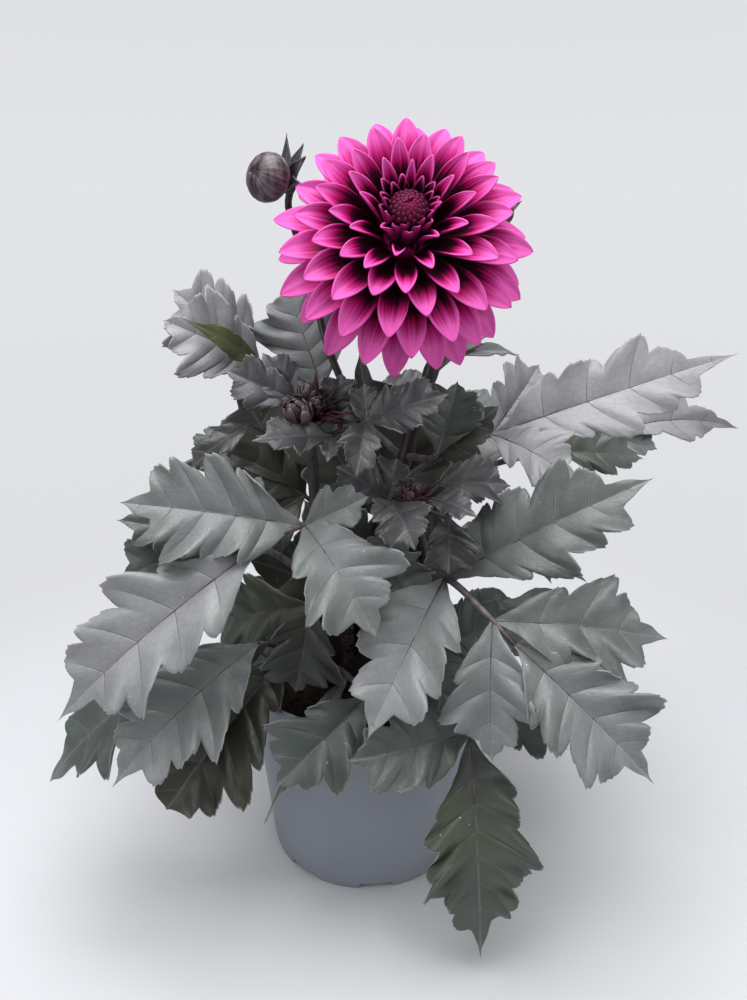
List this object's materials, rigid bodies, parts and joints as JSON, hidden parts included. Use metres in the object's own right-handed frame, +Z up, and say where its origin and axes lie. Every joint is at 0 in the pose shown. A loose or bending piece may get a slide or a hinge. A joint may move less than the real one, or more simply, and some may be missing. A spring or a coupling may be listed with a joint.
{
  "type": "potted dahlia",
  "caption": "dark-leaved dahlia with a double magenta bloom, a nodding bud and cut, toothed compound leaves on purple stems, in a plastic nursery pot",
  "frame": {"origin": "the middle of the pot's underside, on the surface it stands on", "axes": "+Z up along the pot's axis, -Y towards the plant's front, to which the bloom faces, and +X to the right of someone who looks at that front"},
  "size_m": [0.3264, 0.2396, 0.3413],
  "materials": {
    "pot": "grey-blue moulded polypropylene, matte with a faint sheen",
    "soil": "dark crumbly potting soil",
    "stem": "smooth dark purple skin with a slight sheen",
    "leaf": "dark grey-green blade, satin, with paler veins and rim",
    "young": "young purple-grey blade, satin",
    "petal": "velvety magenta, lilac-pink at the tips and dark maroon at the foot",
    "heart": "dark maroon-magenta unopened petals, velvety",
    "calyx": "dull dark green, satin",
    "bud": "purple-brown scales with a grey bloom"
  },
  "bodies": {
    "root": {"pot": "pot", "soil": "soil", "stem_bloom": "stem", "stem_left": "stem", "stem_right": "stem", "stem_back": "stem", "leaf_front_right": "leaf", "leaf_left": "leaf", "leaf_left_behind": "leaf", "leaf_left_inner": "leaf", "leaf_middle_inner": "leaf", "leaf_right_inner": "leaf", "leaf_lower_left": "leaf", "leaf_lower_centre": "leaf", "leaf_hanging": "leaf", "leaf_top_right": "leaf", "leaf_right_behind": "leaf", "leaf_below_bloom": "leaf", "leaf_bloom_stalk": "leaf", "leaf_top_left": "leaf", "leaf_back_left": "leaf", "leaf_back_right": "leaf", "leaf_back_lower_left": "leaf", "leaf_back_lower_right": "leaf", "leaf_right_lower": "leaf", "leaf_centre_behind": "leaf", "leaf_left_middle": "leaf", "leaf_low_behind": "leaf", "young_left": "young", "young_right": "young", "young_back": "young", "bloom_petals": "petal", "bloom_heart": "heart", "bloom_calyx": "calyx", "bud_left": "bud", "bud_right": "bud", "buds_left": "bud", "buds_right": "bud"}
  },
  "joints": []
}
